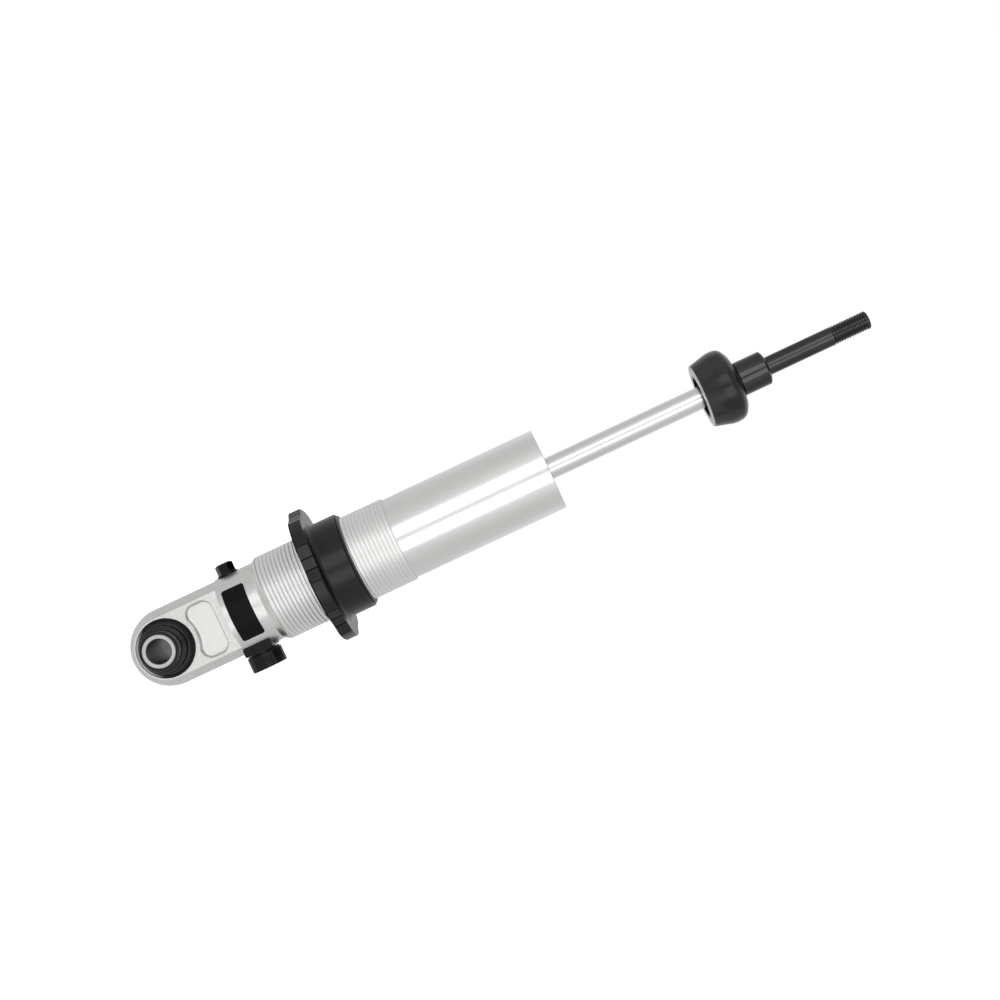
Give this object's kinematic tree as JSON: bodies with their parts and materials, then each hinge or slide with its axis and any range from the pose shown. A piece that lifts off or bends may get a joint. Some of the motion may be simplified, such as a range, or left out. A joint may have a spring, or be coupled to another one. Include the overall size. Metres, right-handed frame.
{
  "type": "coilover shock absorber",
  "caption": "Coilover shock absorber without its spring: eye mount and adjuster on the base, threaded body with notched spring seat, bright shaft, bump stop and threaded stem.",
  "frame": {"origin": "centre of the lower eye, on the axis of its inner sleeve", "axes": "+Z along the shaft from the eye to the top stud, +X towards the adjuster knob, Y along the eye's bolt"},
  "size_m": [0.0868, 0.0868, 0.5045],
  "materials": {
    "base_metal": "bead-blasted",
    "tube_metal": "satin turned",
    "black_anodised": "satin black anodised",
    "shaft_chrome": "polished",
    "black_steel": "black oxide",
    "plain_steel": "turned",
    "bush_rubber": "moulded",
    "bump_rubber": "moulded matte",
    "seal_rubber": "smooth",
    "bronze": "sintered",
    "band_plastic": "filled PTFE"
  },
  "bodies": {
    "damper_body": {"base_housing": "base_metal", "body_tube": "tube_metal", "tube_o_ring": "seal_rubber", "bushing_shell": "black_steel", "bushing_rubber": "bush_rubber", "adjuster_housing": "black_anodised", "housing_screws": "black_steel", "detent_ball": "plain_steel", "detent_spring": "plain_steel", "hex_plug": "black_steel", "plug_washer": "black_anodised", "base_valve_body": "plain_steel", "base_valve_shims": "plain_steel", "base_valve_bolt": "plain_steel", "base_valve_nut": "plain_steel", "intake_spring": "plain_steel", "pressure_tube": "plain_steel", "rod_guide": "base_metal", "guide_bushing": "bronze", "rod_seal": "seal_rubber", "head_o_ring": "seal_rubber", "gland_nut": "base_metal", "rod_wiper": "seal_rubber"},
    "rod": {"shaft": "shaft_chrome", "rebound_stop": "seal_rubber", "stop_washer": "plain_steel", "compression_shims": "plain_steel", "piston": "base_metal", "piston_band": "band_plastic", "rebound_shims": "plain_steel", "piston_nut": "plain_steel", "bump_stop": "bump_rubber", "stem_adapter": "black_steel"},
    "seat_carrier": {"thread_wiper": "seal_rubber"},
    "seat": {"spring_seat": "black_anodised"},
    "adjuster": {"adjuster_knob": "black_anodised", "adjuster_spindle": "plain_steel", "spindle_o_rings": "seal_rubber", "knob_screw": "black_steel"},
    "sleeve": {"eye_sleeve": "plain_steel"},
    "check_valve": {"intake_plate": "plain_steel"}
  },
  "joints": [
    {"name": "rod_slide", "type": "slide", "parent": "damper_body", "child": "rod", "axis": [0, 0, 1], "range_m": [-0.104, 0], "stiffness_N_per_m": 250, "springref_m": 0.4},
    {"name": "seat_travel", "type": "slide", "parent": "damper_body", "child": "seat_carrier", "axis": [0, 0, 1], "range_m": [-0.0275, 0.0275]},
    {"name": "seat_turn", "type": "hinge", "parent": "seat_carrier", "child": "seat", "pos_m": [0, 0, 0.105], "axis": [0, 0, 1], "range_deg": [-3780, 3780]},
    {"name": "knob_turn", "type": "hinge", "parent": "damper_body", "child": "adjuster", "pos_m": [0.02, 0, 0.051], "axis": [1, 0, 0], "range_deg": [0, 330]},
    {"name": "sleeve_twist", "type": "hinge", "parent": "damper_body", "child": "sleeve", "pos_m": [0, 0, 0], "axis": [0, 1, 0], "range_deg": [-15, 15], "stiffness_Nm_per_rad": 40},
    {"name": "intake_lift", "type": "slide", "parent": "damper_body", "child": "check_valve", "axis": [0, 0, 1], "range_m": [0, 0.0008], "stiffness_N_per_m": 400, "springref_m": -0.002, "deforming": ["intake_spring"]}
  ],
  "couplings": [
    {"joint": "seat_travel", "follows": "seat_turn", "m_per_rad": 0.0004138}
  ]
}
